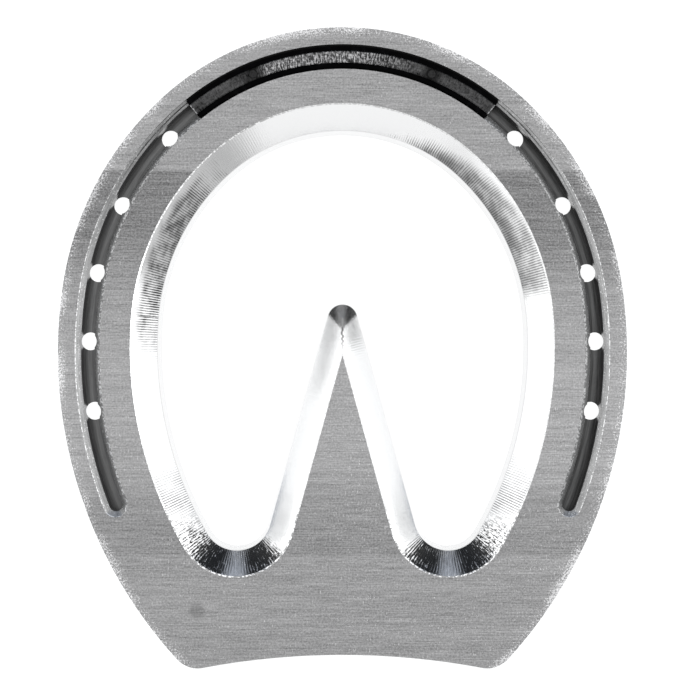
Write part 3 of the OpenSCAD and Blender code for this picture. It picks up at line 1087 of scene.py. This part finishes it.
def bar_steel(layout, finish):
    """Dark steel, ground across its width, brighter round the middle of the toe."""
    material, bench, shader = new_material("insert_steel")
    _, (x, y, z) = place_mm(bench)
    turn = bench.math("ARCTAN2", x, y - layout.toe_c.y / MM)
    radius = layout.edge.toe_r / MM - layout.crease.inset / MM
    run = turn * radius
    from_middle = bench.math("ABSOLUTE", run)
    across = away_from(bench, x, y, layout.toe_c)
    scratch = bench.noise(bench.vector(run * 3.4, across * 0.75, z), detail=3.0, roughness=0.65)
    cross = bench.noise(bench.vector(run * 1.3, across * 2.6, z), detail=3.0, roughness=0.7)
    cloud = bench.noise(bench.vector(run * 0.16, across * 0.3, z), detail=2.0)
    middle = bench.smooth(run, *BRIGHT_LEFT) * bench.smooth(run, *BRIGHT_RIGHT)
    streaks = bench.smooth(0.7 * scratch + 0.3 * cross, 0.46, 0.62) * middle
    rivet_run = layout.bar.rivet_turn * radius
    patch = bench.smooth(bench.math("ABSOLUTE", from_middle - rivet_run), *RIVET_PATCH)
    blotch = patch * bench.smooth(cloud + 0.5 * cross, 0.5, 0.75)
    tone = 0.55 + 1.6 * (scratch - MID) + 1.4 * (cloud - MID) + 1.5 * (cross - MID) + 4.2 * streaks
    end_run = layout.bar.turn * radius
    end = bench.smooth(from_middle, end_run - 0.3, end_run - 0.1)
    tone = tone * (1 - 0.8 * blotch) + 3.0 * end * bench.smooth(cross, 0.42, 0.5)
    bench.feed(shader.inputs["Base Color"], bench.tint(rgba(finish.steel), tone))
    shader.inputs["Metallic"].default_value = 1.0
    bench.feed(shader.inputs["Roughness"], 0.42 + 0.2 * (cross - MID) - 0.08 * streaks)
    add_bump(bench, shader, strength=0.6, distance=0.02, height=0.7 * scratch + 0.3 * cross)
    return material


def black_resin(finish):
    """Matt black resin with a few dull smears."""
    material, bench, shader = new_material("bond_resin")
    place, _ = place_mm(bench)
    lump = bench.noise(place, scale=1.6, detail=4.0, roughness=0.6)
    smear = bench.smooth(bench.noise(place, scale=0.5, detail=3.0), 0.52, 0.7)
    bench.feed(shader.inputs["Base Color"], bench.tint(rgba(finish.resin), 0.7 + lump + 1.5 * smear))
    bench.feed(shader.inputs["Roughness"], 0.55 + 0.2 * smear)
    shader.inputs["Specular IOR Level"].default_value = 0.01
    add_bump(bench, shader, strength=0.7, distance=0.05, height=lump)
    return material


def rivet_steel(layout, finish):
    """Dark steel with turned rings on the ends."""
    material, bench, shader = new_material("rivet_steel")
    place, (x, y, _) = place_mm(bench)
    centre = layout.inside_edge(layout.bar.rivet_turn, layout.crease.inset)
    ring = away_from(bench, bench.math("ABSOLUTE", x), y, centre)
    groove = bench.math("SINE", ring * RING_PHASE)
    dirt = bench.noise(place, scale=2.2, detail=4.0, roughness=0.65)
    rim = bench.smooth(ring, *RIVET_RIM)
    tone = 0.22 + 0.04 * groove + 0.5 * (dirt - 0.4) - 0.12 * rim
    bench.feed(shader.inputs["Base Color"], bench.tint(rgba(finish.steel), tone))
    shader.inputs["Metallic"].default_value = 1.0
    bench.feed(shader.inputs["Roughness"], 0.38 + 0.25 * dirt)
    add_bump(bench, shader, strength=0.5, distance=0.012, height=0.5 * groove + dirt)
    return material


def table_top():
    """White paper that glows a little under the light tent."""
    material, _, shader = new_material("table_paper")
    shader.inputs["Base Color"].default_value = PAPER_GREY
    shader.inputs["Roughness"].default_value = 0.9
    shader.inputs["Specular IOR Level"].default_value = 0.1
    shader.inputs["Emission Color"].default_value = WHITE
    shader.inputs["Emission Strength"].default_value = 0.93
    return material


def tent_seam(bench, x, y, level, turn_x, turn_y, near, at):
    """How close a direction comes to a seam that runs up the tent."""
    return bench.smooth((turn_x * x + turn_y * y) / level, near, at)


def light_tent(scene):
    """World of a white tent that is open and dark behind the toe, with a grey roof round the camera."""
    world = bpy.data.worlds.new("light_tent")
    world.use_nodes = True
    bench = Bench(world.node_tree)
    background = next(n for n in world.node_tree.nodes if n.type == "BACKGROUND")
    x, y, z = bench.parts(bench.node("ShaderNodeTexCoord", output="Generated"))
    level = bench.math("SQRT", x * x + y * y + 1e-5)
    ahead = y / level
    roof = bench.smooth(z, 0.35, 0.93, 1.35, 1.0) * (1 - 0.3 * bench.smooth(ahead, -0.55, -0.82))
    low = bench.smooth(z, *TENT_LOW)
    gap = bench.smooth(ahead, *TENT_GAP) * low
    glow = bench.smooth(ahead, *TENT_GLOW) * low
    left_seam = tent_seam(bench, x, y, level, -0.8, -0.6, 0.93, 0.99) * bench.smooth(z, 0.25, 0.0)
    right_seam = tent_seam(bench, x, y, level, 0.82, -0.57, 0.86, 0.975) * low
    tent = roof * (1 - 0.6 * gap) * (1 - 0.5 * left_seam) * (1 - 0.56 * right_seam) + 0.15 * glow
    bench.feed(background.inputs["Color"], bench.mix(gap, WHITE, GAP_BLUE))
    bench.feed(background.inputs["Strength"], tent * scene.shoe_stage.tent)
    scene.world = world


# Operators ---------------------------------------------------------------------------------


class MakePlate(bpy.types.Operator):
    """Build the milled plate"""

    bl_idname = "horseshoe.plate"
    bl_label = "Milled plate"

    def execute(self, context):
        layout = Layout(context.scene)
        bm = bmesh.new()
        outer_wall(bm, layout)
        opening_wall(bm, layout)
        crease_groove(bm, layout)
        whole = bm.verts[:] + bm.edges[:] + bm.faces[:]
        bmesh.ops.mirror(bm, geom=whole, merge_dist=TINY, axis="X")
        bmesh.ops.remove_doubles(bm, verts=bm.verts, dist=TINY)
        fray(bm, layout, layout.thickness)
        fill_level(bm, layout.thickness)
        fill_level(bm, 0.0)
        plate = keep(bm, "milled_plate", plate_metal(layout, context.scene.shoe_finish))
        drill(plate, layout)
        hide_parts("shoe_body")
        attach(plate, "root")
        return {"FINISHED"}


class MakeBar(bpy.types.Operator):
    """Build the steel toe bar"""

    bl_idname = "horseshoe.toe_bar"
    bl_label = "Toe bar"

    def execute(self, context):
        layout = Layout(context.scene)
        bar = layout.bar
        half, top = bar.width / 2, layout.thickness
        low = layout.slot_floor + bar.film
        side = [(half - bar.chamfer, top), (half, top - bar.chamfer), (half, low)]
        rows = side + [(-out, z) for out, z in reversed(side)]
        bm = bmesh.new()
        bar_section(bm, layout, rows, bar.turn)
        piece = keep(bm, "toe_bar", bar_steel(layout, context.scene.shoe_finish))
        drill(piece, layout)
        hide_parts("toe_insert")
        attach(piece, "root")
        return {"FINISHED"}


class MakeResin(bpy.types.Operator):
    """Build the bed of bonding resin"""

    bl_idname = "horseshoe.resin"
    bl_label = "Resin bed"

    def execute(self, context):
        layout = Layout(context.scene)
        bar, crease = layout.bar, layout.crease
        wall = crease.slot_w / 2 - bar.gap
        inner = bar.width / 2 + bar.gap
        top = layout.thickness
        low = layout.slot_floor + bar.gap
        lift = layout.slot_floor + bar.film - bar.gap
        side = [
            (inner, lift),
            (inner, top - bar.sink),
            (wall + crease.chamfer - bar.sink, top - bar.sink),
            (wall, top - crease.chamfer),
            (wall, low),
        ]
        rows = side + [(-out, z) for out, z in reversed(side)]
        bm = bmesh.new()
        bar_section(bm, layout, rows, bar.turn)
        for vert in bm.verts:
            if abs(vert.co.z - (top - bar.sink)) < TINY:
                vert.co.z -= bar.ripple * (1 + noise.noise(vert.co / RESIN_GRAIN))
        piece = keep(bm, "resin_bed", black_resin(context.scene.shoe_finish))
        drill(piece, layout)
        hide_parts("insert_bond")
        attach(piece, "root")
        return {"FINISHED"}


class MakeRivets(bpy.types.Operator):
    """Build the two rivets"""

    bl_idname = "horseshoe.rivets"
    bl_label = "Rivets"

    def execute(self, context):
        layout = Layout(context.scene)
        bar = layout.bar
        shank_r, head_r = bar.rivet_dia / 2, bar.head_dia / 2
        small, head_hollow = 0.06 * MM, 0.02 * MM
        half_hollow, end_hollow = 0.03 * MM, 0.04 * MM
        profile = [
            (0, head_hollow),
            (head_r - small, 0),
            (head_r, small),
            (shank_r, bar.head_d),
            (shank_r, layout.thickness - small),
            (shank_r - small, layout.thickness),
            (0.5 * shank_r, layout.thickness - half_hollow),
            (0, layout.thickness - end_hollow),
        ]
        bm = bmesh.new()
        for centre in both_sides(layout.inside_edge(bar.rivet_turn, layout.crease.inset)):
            lathe(bm, centre, profile)
        bmesh.ops.remove_doubles(bm, verts=bm.verts, dist=TINY)
        piece = keep(bm, "bar_rivets", rivet_steel(layout, context.scene.shoe_finish))
        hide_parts("insert_rivets")
        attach(piece, "root")
        return {"FINISHED"}


class MakeStage(bpy.types.Operator):
    """Set the table, the light tent and the camera"""

    bl_idname = "horseshoe.stage"
    bl_label = "Stage"

    def execute(self, context):
        scene = context.scene
        stage = scene.shoe_stage
        bm = bmesh.new()
        bmesh.ops.create_grid(bm, x_segments=1, y_segments=1, size=stage.floor_size / 2)
        bmesh.ops.translate(bm, verts=bm.verts, vec=-stage.table_gap * UP)
        table = keep(bm, "table", table_top(), outwards=False)
        light_tent(scene)
        lamp = bpy.data.lights.new("key", "AREA")
        lamp.shape, lamp.size, lamp.energy = "DISK", stage.key_size, stage.key_power
        key = bpy.data.objects.new("key", lamp)
        key.location = KEY_PLACE
        key.rotation_euler = (-key.location).to_track_quat("-Z", "Y").to_euler()
        scene.collection.objects.link(key)
        lens = bpy.data.cameras.new("camera")
        lens.lens = lens.sensor_width * stage.camera_h / stage.view_w
        lens.clip_start = 10 * MM
        camera = bpy.data.objects.new("camera", lens)
        camera.location = (stage.camera_x, stage.camera_y, PLATE_HIGH.z + stage.camera_h)
        scene.collection.objects.link(camera)
        scene.camera = camera
        scene.view_settings.view_transform = "Standard"
        return {"FINISHED"}


class HorseshoePanel(bpy.types.Panel):
    """Sizes, finishes and steps of the horseshoe"""

    bl_idname = "VIEW3D_PT_horseshoe"
    bl_label = "Horseshoe"
    bl_space_type = "VIEW_3D"
    bl_region_type = "UI"
    bl_category = "Horseshoe"

    def draw(self, context):
        for operator in OPERATORS:
            self.layout.operator(operator.bl_idname)
        for name, group in GROUPS:
            box = self.layout.box()
            box.label(text=group.__doc__)
            for key in group.__annotations__:
                box.prop(getattr(context.scene, name), key)


OPERATORS = (MakePlate, MakeBar, MakeResin, MakeRivets, MakeStage)


def register():
    """Adds the property groups, the operators and the panel."""
    for name, group in GROUPS:
        bpy.utils.register_class(group)
        setattr(bpy.types.Scene, name, PointerProperty(type=group))
    for operator in OPERATORS:
        bpy.utils.register_class(operator)
    bpy.utils.register_class(HorseshoePanel)


def unregister():
    """Takes them away again."""
    bpy.utils.unregister_class(HorseshoePanel)
    for operator in reversed(OPERATORS):
        bpy.utils.unregister_class(operator)
    for name, group in reversed(GROUPS):
        delattr(bpy.types.Scene, name)
        bpy.utils.unregister_class(group)


def main():
    """Builds the whole shoe."""
    register()
    bpy.ops.horseshoe.plate()
    bpy.ops.horseshoe.toe_bar()
    bpy.ops.horseshoe.resin()
    bpy.ops.horseshoe.rivets()
    bpy.ops.horseshoe.stage()


if __name__ == "__main__":
    main()
